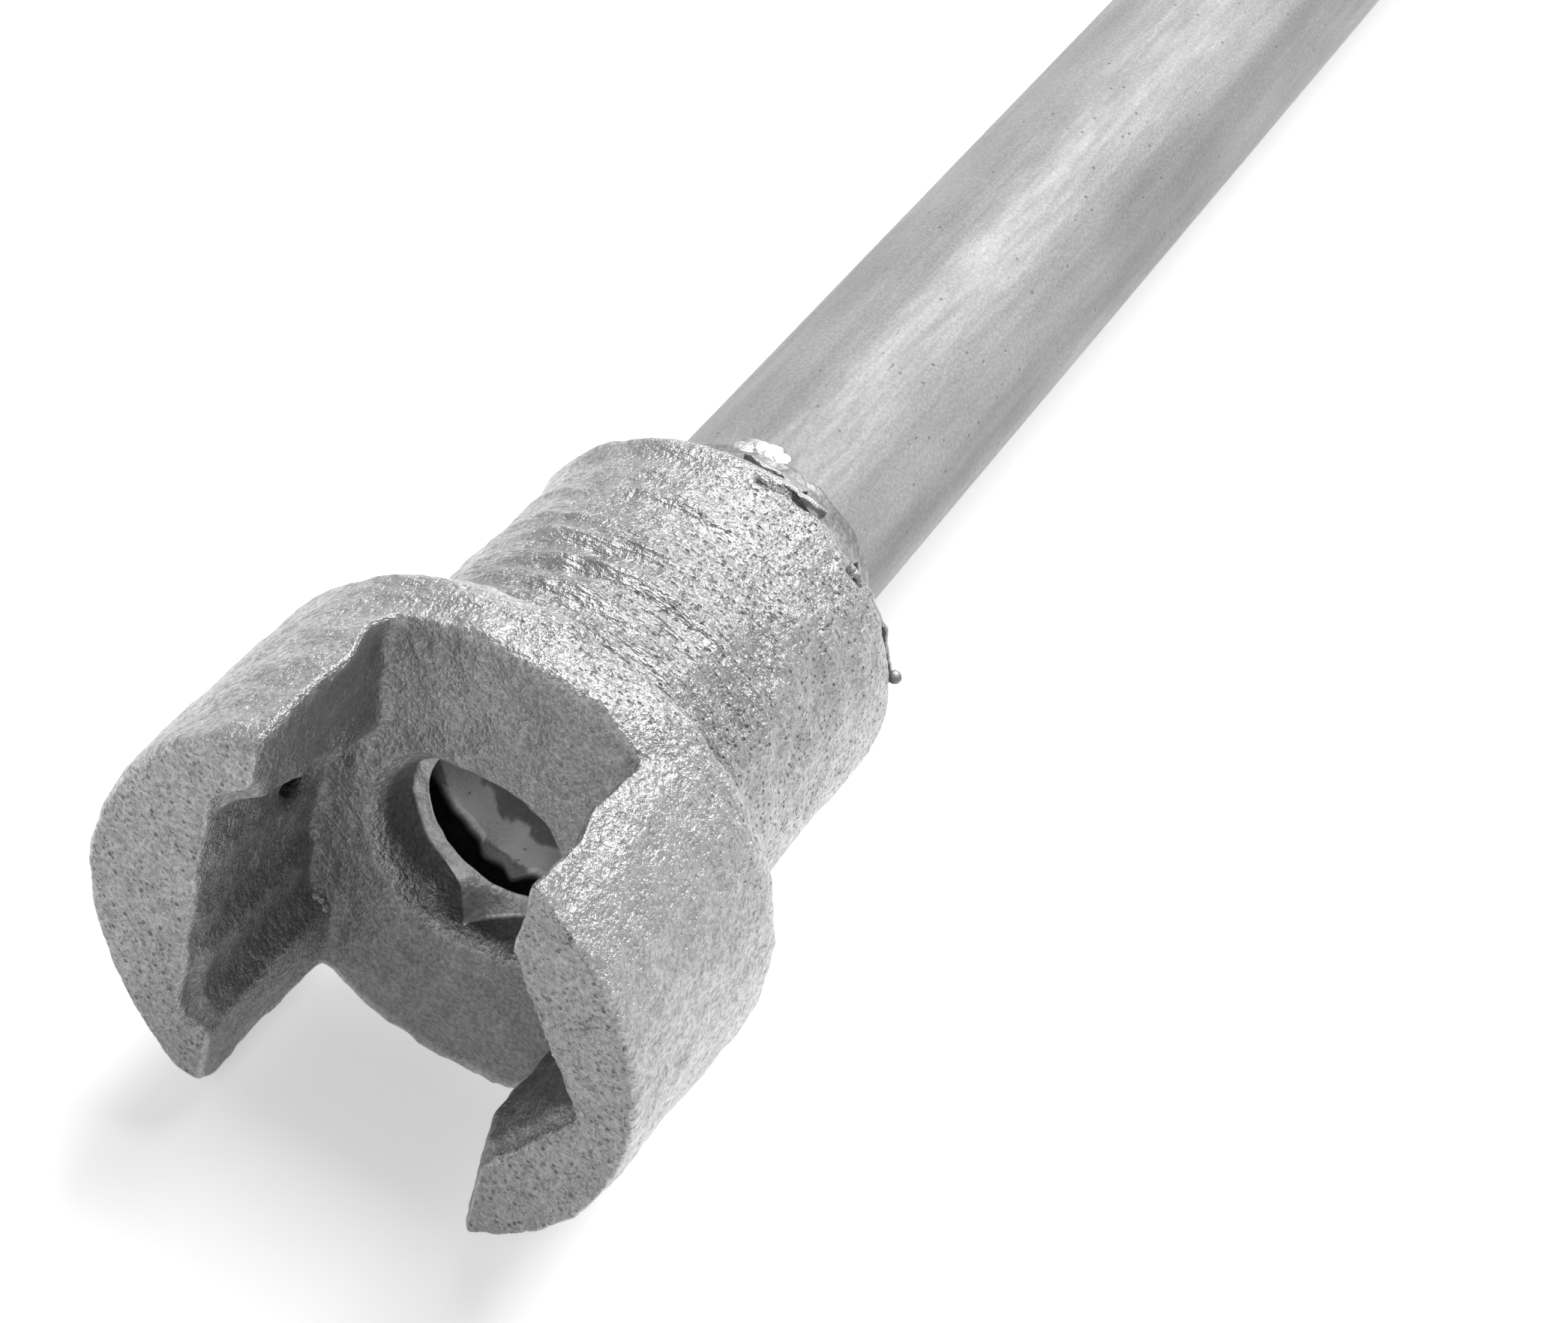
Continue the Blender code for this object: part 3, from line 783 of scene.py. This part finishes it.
def make_tube():
    """Points at (x, r, angle): r is the tube's or the bore's radius plus waves; the ends wander in x."""
    half = tube_high.x
    even = np.linspace(1.0, -1.0, BORE_STEPS)
    bore_share = 0.15 * even + 0.85 * np.sin(even * math.pi / 2.0)
    share = np.concatenate((np.linspace(-1.0, 1.0, OUTSIDE_STEPS), bore_share))[None, :]
    is_outside = np.concatenate((np.ones(OUTSIDE_STEPS), np.zeros(BORE_STEPS)))
    angle = turn_angles(TUBE_ROWS)
    y = np.cos(angle)
    z = np.sin(angle)
    circle = on_circle(angle)
    ragged = RAGGED * (0.8 * hills(circle, 0.30, 301) + hills(circle, 0.13, 302))[:, None]
    x = share * half + np.sign(share) * ragged * np.abs(share) ** 40
    outside = is_outside[None, :] + 0.0 * angle
    waves_at = turned(x / WAVE_STRETCH, TUBE_RADIUS + 0.0 * x, angle)
    waves = 0.10 * MM * hills(waves_at, 9.0 * MM, 303) + 0.05 * MM * hills(waves_at, 4.5 * MM, 304)
    skin_at = waves_at * np.array([WAVE_STRETCH, 1.0, 1.0])
    grain = 0.03 * MM * hills(skin_at, 2.4 * MM, 305)
    lumps = 0.35 * MM * hills(skin_at, 4.0 * MM, 306)
    surface_noise = (waves + grain).reshape(x.shape) * outside
    surface_noise += lumps.reshape(x.shape) * (1.0 - outside)
    radius = np.where(outside > 0.5, TUBE_RADIUS, TUBE_RADIUS - TUBE_WALL) + surface_noise
    points = np.stack((x, y * radius, z * radius + AXIS_Z), axis=-1).reshape(-1, 3)
    quads = grid_quads(TUBE_ROWS, OUTSIDE_STEPS + BORE_STEPS, True, True)
    piece = make_piece("scaffold_tube", points, quads, TUBE_ZINC)
    depth = (half - np.abs(x)).ravel()
    # painted shade in the bore's first millimetre, and a dull patch past about eight millimetres
    blotch_edge = 1.8 * MM * hills(skin_at, 5.0 * MM, 307) + 1.2 * MM * hills(skin_at, 2.0 * MM, 308)
    blotch = step(depth + blotch_edge, 7.8 * MM, 8.8 * MM)
    blotch = np.maximum(blotch, step(depth, 1.2 * MM, 0.5 * MM))
    paint(piece, "bore_shade_and_dull", blotch * (1.0 - outside.ravel()))
    paint(piece, "bore_painted_light", 1.0 - outside.ravel())
    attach(piece, "root")
    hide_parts("tube")
    print(piece.name, len(quads) * 2, "triangles")


make_tube()

# %% [markdown]
# ## The collar weld
#
# The weld fills the step between sleeve and tube with a hollow, rough bead. Its face is
# a curve that starts steep at the sleeve and runs out along the tube. Carried round the
# tube with a slowly changing length, height and ripple, it reads as laid by hand. Its
# finish is the casting's zinc with coarser beads and duller hollows.

# %% Weld finish


def weld_finish():
    """Grey = crystals x patches; crystals and coarser beads bump it."""
    material, tree, shader, place = new_finish("galvanised_weld", 0.8)
    crystals = speckle(tree, place, 1.1 * MM, 3.0, 0.6)
    beads = speckle(tree, place, 3.6 * MM, 2.0)
    patches = speckle(tree, place, 9.0 * MM, 2.0)
    toned = remap(tree, crystals, 0.3, 0.72, 0.22, 0.38)
    toned = tone_by(tree, toned, (patches, 0.3, 0.7, 0.75, 1.15))
    dull = remap(tree, beads, 0.3, 0.7, 0.5, 0.68)
    colour_with(tree, shader, toned, dull)
    roughen(tree, shader, combine(tree, "ADD", crystals, scaled(tree, beads, 2.0)), 0.28 * MM)
    return material


WELD_ZINC = weld_finish()

# %% Weld surface
WELD_ROWS = 300
FACE_STEPS = 44
ROOT_STEPS = 6
WELD_TOE_X = weld_low.x - FRONT_X
WELD_FRONT_X = weld_high.x - FRONT_X + 1.2 * MM


def make_weld(end, seed):
    """Section: a face from sleeve to toe, r falling as (1 - t) to the 1.6, and a root on the tube."""
    angle = turn_angles(WELD_ROWS)
    circle = on_circle(angle)
    toe_wander = (1.4 * hills(circle, 0.5, seed) + 0.8 * hills(circle, 0.14, seed + 1))[:, None]
    toe = WELD_TOE_X + 2.2 * MM + MM * toe_wander
    top = WELD_RADIUS + 0.8 * MM * hills(circle, 0.45, seed + 2)[:, None]
    inner = TUBE_RADIUS - 0.2 * MM
    toe_r = inner + 0.25 * MM
    t = np.linspace(0.0, 1.0, FACE_STEPS)[None, :]
    face_x = WELD_FRONT_X + (toe - WELD_FRONT_X) * t**1.15
    face_r = toe_r + (top - toe_r) * (1.0 - t) ** 1.6
    root = np.linspace(0.0, 1.0, ROOT_STEPS)[None, :]
    root_x = toe + (WELD_FRONT_X - toe) * root
    x = np.concatenate((face_x, root_x), axis=1)
    r = np.concatenate((face_r, inner + 0.0 * root_x), axis=1)
    shown = np.concatenate((np.ones(FACE_STEPS), np.zeros(ROOT_STEPS)))[None, :] + 0.0 * angle
    flat = turned(x, r, angle)
    lumps = 0.45 * MM * hills(flat, 6.0 * MM, seed + 3) + 0.25 * MM * hills(flat, 2.6 * MM, seed + 4)
    round_way = np.repeat(angle[:, 0], x.shape[1]) * 30.0 * MM
    ripple_at = np.column_stack((flat[:, 0] / 3.0, round_way, 0.0 * round_way))
    ripples = 0.22 * MM * hills(ripple_at, 2.2 * MM, seed + 5)
    thick = np.clip((r.ravel() - inner) / (1.5 * MM), 0.0, 1.0)
    grown = r.ravel() + (lumps + ripples) * shown.ravel() * thick
    scale = grown / r.ravel()
    points = flat * np.column_stack((np.ones_like(scale), scale, scale))
    points = points + lean_of(points, end)
    quads = grid_quads(WELD_ROWS, FACE_STEPS + ROOT_STEPS, True, True)
    piece = make_piece(end + "_collar_bead", into_frame(points, end), quads, WELD_ZINC)
    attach(piece, "root")
    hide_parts(end + "_collar_weld")
    print(piece.name, len(quads) * 2, "triangles")


make_weld("near", 400)
make_weld("far", 440)

# %% [markdown]
# ## Cold laps on the sleeve's rim
#
# Where the arc missed the corner, a tongue of metal lies over the rim without joining it,
# and a black gap shows under its front edge. Each tongue is a flat lens-shaped section
# carried along an arc of the rim, swelling from nothing and fading to nothing. It stands
# off the rim at its front, so the gap is real and shades itself.

# %% Lap tongues
LAP_ROWS = 90
LAP_COLUMNS = 24
RIM_RADIUS = 38.6
# In degrees and millimetres:
# (first angle, last angle, front edge, how far it slants back, width, thickness, lift)
NEAR_LAPS = (
    (91.0, 68.0, -118.6, 3.4, 6.0, 1.4, 1.6),
    (97.0, 76.0, -122.2, 1.0, 5.0, 1.0, 0.2),
    (52.0, 10.0, -121.2, 1.0, 4.0, 1.1, -0.9),
)
FAR_LAPS = (
    (200.0, 165.0, -120.5, 1.0, 7.0, 1.2, 0.6),
    (80.0, 52.0, -119.0, 3.0, 7.5, 1.2, 0.6),
)


def lap_tongue(first, last, front, slant, width, thickness, lift, seed):
    """An ellipse as section, as long as the width, squashed, leaning back and down to the weld."""
    along = np.linspace(0.0, 1.0, LAP_ROWS)[:, None]
    around = turn_angles(LAP_COLUMNS).T
    angle = (first + (last - first) * along) * DEG
    fullness = np.sqrt(np.clip(1.0 - (2.0 * along - 1.0) ** 4, 0.0, 1.0))
    path = np.column_stack((along, 0.0 * along, 0.0 * along))
    wander = (hills(path, 0.30, seed) + 0.25 * hills(path, 0.07, seed + 1))[:, None]
    forward = (np.cos(around) + 1.0) / 2.0
    front = front - slant * along
    x = (front - width * (1.0 - forward) + wander * forward) * MM
    middle = (front - width / 2.0) * MM
    x = middle + (x - middle) * fullness
    rim = RIM_RADIUS * (1.0 - 0.03 * undercut_at(angle)) + lift * forward * fullness
    rim = (rim - 4.6 * (1.0 - forward) ** 1.6) * MM
    r = rim + thickness / 2.0 * MM * np.sin(around) * fullness
    points = turned(x, r, angle)
    rough = 0.22 * MM * hills(points, 3.0 * MM, seed + 2) * np.repeat(fullness[:, 0], LAP_COLUMNS)
    return points * (1.0 + rough / r.ravel())[:, None]


def make_laps(end, laps, seed):
    """All of an end's tongues in one piece, with their pointed ends merged."""
    quads = grid_quads(LAP_ROWS, LAP_COLUMNS, False, True)
    tongues = [lap_tongue(*lap, seed + 10 * i) for i, lap in enumerate(laps)]
    tongues = [tongue + lean_of(tongue, end) for tongue in tongues]
    all_quads = np.concatenate([quads + i * LAP_ROWS * LAP_COLUMNS for i in range(len(laps))])
    piece = make_piece(end + "_cold_laps", into_frame(np.concatenate(tongues), end), all_quads, CASTING)
    weld_poles(piece)
    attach(piece, "root")
    print(piece.name, len(laps), "tongues")


make_laps("near", NEAR_LAPS, 500)
make_laps("far", FAR_LAPS, 560)

# %% [markdown]
# ## Frozen zinc in the bore
#
# When the piece was lifted from the bath, zinc hung in the bore and froze: a ring with a
# smooth inner edge, a wandering front edge, and a pointed run where the last drop left.
# It could be a torus, but its width changes all the way round, so it is a section whose
# front edge depends on the angle. Its finish is smoother than the casting's.

# %% Zinc finish


def zinc_finish():
    """Grey = soft grain x clouds; half rough."""
    material, tree, shader, place = new_finish("zinc_run", 0.8)
    grain = speckle(tree, place, 0.8 * MM, 3.0, 0.6)
    clouds = speckle(tree, place, 5.0 * MM, 2.0)
    toned = remap(tree, grain, 0.3, 0.72, 0.48, 0.68)
    toned = tone_by(tree, toned, (clouds, 0.3, 0.7, 0.85, 1.1))
    dull = remap(tree, clouds, 0.3, 0.7, 0.40, 0.55)
    colour_with(tree, shader, toned, dull)
    roughen(tree, shader, combine(tree, "ADD", grain, clouds), 0.18 * MM)
    return material


ZINC = zinc_finish()

# %% Zinc ring
RING_ROWS = 240
RING_COLUMNS = 28
BACK_COLUMNS = 8
ZINC_BACK_X = zinc_low.x - FRONT_X
RING_INNER = 16.6 * MM
RUN_ANGLE = -89.0 * DEG
RUN_WIDTH = 10.0 * DEG
CHAMFER_START = -41.5 * MM
RUN_TIP = -39.6 * MM
BORE_RADIUS = ZINC_RADIUS + 0.3 * MM


def make_bore_zinc(end, seed):
    """Front face: x rises from the inner edge to the bore, most at the run, up the chamfer."""
    angle = turn_angles(RING_ROWS)
    circle = on_circle(angle)
    off_run = np.mod(angle - RUN_ANGLE + math.pi, math.tau) - math.pi
    sag = 0.5 - 0.5 * np.sin(angle)
    wander = 0.5 * hills(circle, 0.4, seed) + 0.35 * hills(circle, 0.12, seed + 1)
    edge = 0.7 + 1.6 * sag**2 + wander[:, None]
    run_length = RUN_TIP - ZINC_BACK_X - 2.3 * MM
    reach = edge * MM + run_length * np.exp(-np.abs(off_run) / RUN_WIDTH)
    inner = RING_INNER - 0.25 * MM * sag + 0.12 * MM * hills(circle, 0.5, seed + 2)[:, None]
    t = np.linspace(0.0, 1.0, RING_COLUMNS - BACK_COLUMNS)[None, :]
    front_x = ZINC_BACK_X + 0.6 * MM + (reach - 0.6 * MM) * t**1.25
    wall = BORE_RADIUS + np.clip(front_x - CHAMFER_START, 0.0, None)
    front_r = inner + (wall - 0.45 * MM - inner) * t**0.7
    front_r = front_r + 0.75 * MM * np.clip((t - 0.92) / 0.08, 0.0, 1.0)
    back = np.linspace(1.0, 0.0, BACK_COLUMNS)[None, :]
    back_r = inner + (BORE_RADIUS + 0.3 * MM - inner) * back
    back_x = ZINC_BACK_X + 0.5 * MM * (2.0 * back - 1.0) ** 2 + 0.0 * angle
    x = np.concatenate((front_x, back_x), axis=1)
    r = np.concatenate((front_r, back_r), axis=1)
    points = turned(x, r, angle)
    points[:, 0] += 0.22 * MM * hills(points, 2.2 * MM, seed + 3)
    quads = grid_quads(RING_ROWS, RING_COLUMNS, True, True)
    piece = make_piece(end + "_bore_run", into_frame(points, end), quads, ZINC)
    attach(piece, "root")
    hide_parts(end + "_bore_zinc")
    print(piece.name, "tip at", np.round(points[:, 0].max() / MM, 1), "mm")


make_bore_zinc("near", 600)
make_bore_zinc("far", 640)

# %% [markdown]
# ## Spatter, flakes and lumps
#
# Zinc freezes in flakes at the bead's toe and in lumps in the pocket's corner. Each is one
# small blob: a coarse sphere, flattened along its surface's normal and dented by noise. A
# few dozen faces are enough for each, and all the blobs of one kind are joined in one
# mesh. Welding also throws balls of metal, and the one here hangs on a stalk of its own.

# %% Blobs
BLOB_ROWS = 9
BLOB_COLUMNS = 12


def blob(centre, normal, size, flatness, seed):
    """A sphere grid, stretched by (size, size, size * flatness) with its last axis along the normal."""
    polar = np.linspace(0.0, math.pi, BLOB_ROWS)[:, None]
    around = turn_angles(BLOB_COLUMNS).T
    across = np.sin(polar)
    upward = np.cos(polar) + 0.0 * around
    ball = np.stack((across * np.cos(around), across * np.sin(around), upward), axis=-1).reshape(-1, 3)
    ball = ball * (1.0 + 0.30 * hills(ball, 0.7, seed)[:, None])
    local = ball * np.array([size, size, size * flatness])
    turn = np.array(Vector(normal).to_track_quat("Z", "X").to_matrix())
    return local @ turn.T + np.array(centre)


def make_blobs(name, end, blobs, finish):
    """Join blobs into one piece; their poles are merged."""
    quads = grid_quads(BLOB_ROWS, BLOB_COLUMNS, False, True)
    all_quads = np.concatenate([quads + i * BLOB_ROWS * BLOB_COLUMNS for i in range(len(blobs))])
    piece = make_piece(name, into_frame(np.concatenate(blobs), end), all_quads, finish)
    weld_poles(piece)
    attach(piece, "root")
    print(name, len(blobs), "blobs")
    return piece


# %% Flakes along the weld's toe


def toe_flakes(first, last, count, seed):
    """Flakes on the tube at random angles in a range, a millimetre or two past the toe."""
    random = np.random.default_rng(seed)
    flakes = []
    for i in range(count):
        angle = random.uniform(first, last) * DEG
        x = WELD_TOE_X + random.uniform(0.6, 3.6) * MM
        out = (0.0, math.cos(angle), math.sin(angle))
        centre = (x, *(TUBE_RADIUS * part for part in out[1:]))
        flakes.append(blob(centre, out, random.uniform(0.7, 2.2) * MM, 0.12, seed + i))
    return flakes


make_blobs("near_toe_flakes", "near", toe_flakes(90.0, 114.0, 22, 700), ZINC)
make_blobs("far_toe_flakes", "far", toe_flakes(20.0, 60.0, 9, 730), ZINC)

# %% Lumps in the pocket's rear corner
LUMP_COUNT = 22


def pocket_lumps(seed):
    """Small lumps along a slanting line, low in the pocket, where its wall meets the back wall."""
    random = np.random.default_rng(seed)
    lumps = []
    for i in range(LUMP_COUNT):
        side = random.uniform(-33.5, -24.5)
        low = -26.6 - 0.6 * (side + 32.5) + random.uniform(-1.5, 3.0)
        centre = (BACK_WALL + random.uniform(1.3, 2.8) * MM, side * MM, low * MM)
        lumps.append(blob(centre, (0.8, 0.5, 0.3), random.uniform(0.5, 1.15) * MM, 0.7, seed + i))
    return lumps


lumps = make_blobs("near_pocket_lumps", "near", pocket_lumps(760), CASTING)
# a little painted shade on the lumps
paint(lumps, "painted_shade", np.full(len(lumps.data.vertices), 0.1))

# %% The spatter ball on its stalk
STALK_ROWS = 26
STALK_COLUMNS = 20
BALL_RADIUS = 1.35 * MM
# How much of the way from the foot to the far corner of the frame's box the ball reaches
STALK_SHARE = 0.72


def make_spatter():
    """A profile turned about the line from the ball's foot to its middle: a stalk, then a ball."""
    foot = np.array([ball_high.x - FRONT_X, ball_low.y, ball_low.z - AXIS_Z])
    tip = np.array([ball_low.x - FRONT_X, ball_high.y, ball_high.z - AXIS_Z])
    reach = np.linalg.norm(tip - foot)
    length = STALK_SHARE * reach
    axis = (tip - foot) / reach
    t = np.linspace(0.0, 1.0, STALK_ROWS)[:, None]
    around = turn_angles(STALK_COLUMNS).T
    stalk = (0.6 + 0.9 * (1.0 - t) ** 4) * MM
    from_ball = (t - 1.0) * length + BALL_RADIUS
    ball = np.sqrt(np.clip(BALL_RADIUS**2 - from_ball**2, 0.0, None))
    r = np.where(from_ball > -0.8 * BALL_RADIUS, ball, np.maximum(stalk, ball))
    r = r * np.where(t <= 0.0, 0.0, 1.0)
    side = np.cross(axis, (0.0, 0.0, 1.0))
    side = side / np.linalg.norm(side)
    other = np.cross(axis, side)
    ring = side * np.cos(around)[..., None] + other * np.sin(around)[..., None]
    points = foot + axis * (t * length)[..., None] + ring * r[..., None]
    points = points.reshape(-1, 3)
    points = points + 0.08 * MM * hills(points, 0.8 * MM, 790)[:, None] * axis
    quads = grid_quads(STALK_ROWS, STALK_COLUMNS, False, True)
    piece = make_piece("spatter_on_stalk", into_frame(points, "near"), quads, WELD_ZINC)
    weld_poles(piece)
    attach(piece, "root")
    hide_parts("spatter_ball")
    print(piece.name, "is", np.round(length / MM, 1), "mm long")


make_spatter()

# %% [markdown]
# ## Floor, light and camera
#
# A plain pale floor and a pale world make a light box, and the floor glows a little, so
# that it stays nearly white. One large lamp stands high behind the piece, so that its upper
# side shines towards the camera as zinc does under an open sky. A weak one fills from the
# +Y side, and a small one from the front puts light into the slot. The camera looks down
# along the tube with a long lens, rolled a little.

# %% Floor
shown_low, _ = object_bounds()
FLOOR_REACH = 6.0
FLOOR_DROP = 0.1 * MM


def make_floor():
    """A square sheet just under the lowest point of the heads."""
    mesh = bpy.data.meshes.new("studio_floor")
    level = shown_low.z - FLOOR_DROP
    signs = ((-1, -1), (1, -1), (1, 1), (-1, 1))
    corners = [(x * FLOOR_REACH, y * FLOOR_REACH, level) for x, y in signs]
    mesh.from_pydata(corners, [], [(0, 1, 2, 3)])
    paper = bpy.data.materials.new("pale_floor")
    paper.use_nodes = True
    inputs = paper.node_tree.nodes["Principled BSDF"].inputs
    inputs["Base Color"].default_value = (0.9, 0.9, 0.9, 1.0)
    inputs["Roughness"].default_value = 0.9
    inputs["Emission Color"].default_value = (1.0, 1.0, 1.0, 1.0)
    inputs["Emission Strength"].default_value = 0.35
    mesh.materials.append(paper)
    floor = bpy.data.objects.new("studio_floor", mesh)
    bpy.context.scene.collection.objects.link(floor)


make_floor()

# %% Light
AIM = Vector((0.26, 0.0, AXIS_Z))


def add_lamp(name, offset, side, watts):
    """A square lamp at an offset from the aim point, facing it."""
    data = bpy.data.lights.new(name, "AREA")
    data.shape = "SQUARE"
    data.size = side
    data.energy = watts
    lamp = bpy.data.objects.new(name, data)
    bpy.context.scene.collection.objects.link(lamp)
    lamp.location = AIM + Vector(offset)
    lamp.rotation_euler = (-Vector(offset)).to_track_quat("-Z", "Y").to_euler()


world = bpy.data.worlds.new("pale_world")
world.use_nodes = True
backdrop = world.node_tree.nodes["Background"].inputs
backdrop["Color"].default_value = (0.8, 0.8, 0.8, 1.0)
backdrop["Strength"].default_value = 0.34
bpy.context.scene.world = world
add_lamp("sky_lamp", (-1.3, -0.05, 1.9), 1.8, 98.0)
add_lamp("side_lamp", (0.5, 1.6, 0.5), 0.9, 1.0)
add_lamp("front_lamp", (1.3, 0.2, 1.3), 0.6, 6.0)
bpy.context.scene.view_settings.view_transform = "Standard"

# %% Camera
LENS = 80.74
EYE = Vector((0.7015, 0.1506, 0.5186))
LOOK = Vector((-0.68616, -0.19783, -0.70003))
ROLL = 18.14 * DEG


def add_camera():
    """Look along LOOK with the horizon level, then roll about the line of sight."""
    data = bpy.data.cameras.new("camera")
    data.lens = LENS
    data.sensor_width = 36.0
    data.clip_start = 0.01
    camera = bpy.data.objects.new("camera", data)
    bpy.context.scene.collection.objects.link(camera)
    level = LOOK.to_track_quat("-Z", "Y").to_matrix().to_4x4()
    camera.matrix_world = Matrix.Translation(EYE) @ level @ Matrix.Rotation(ROLL, 4, "Z")
    bpy.context.scene.camera = camera


add_camera()
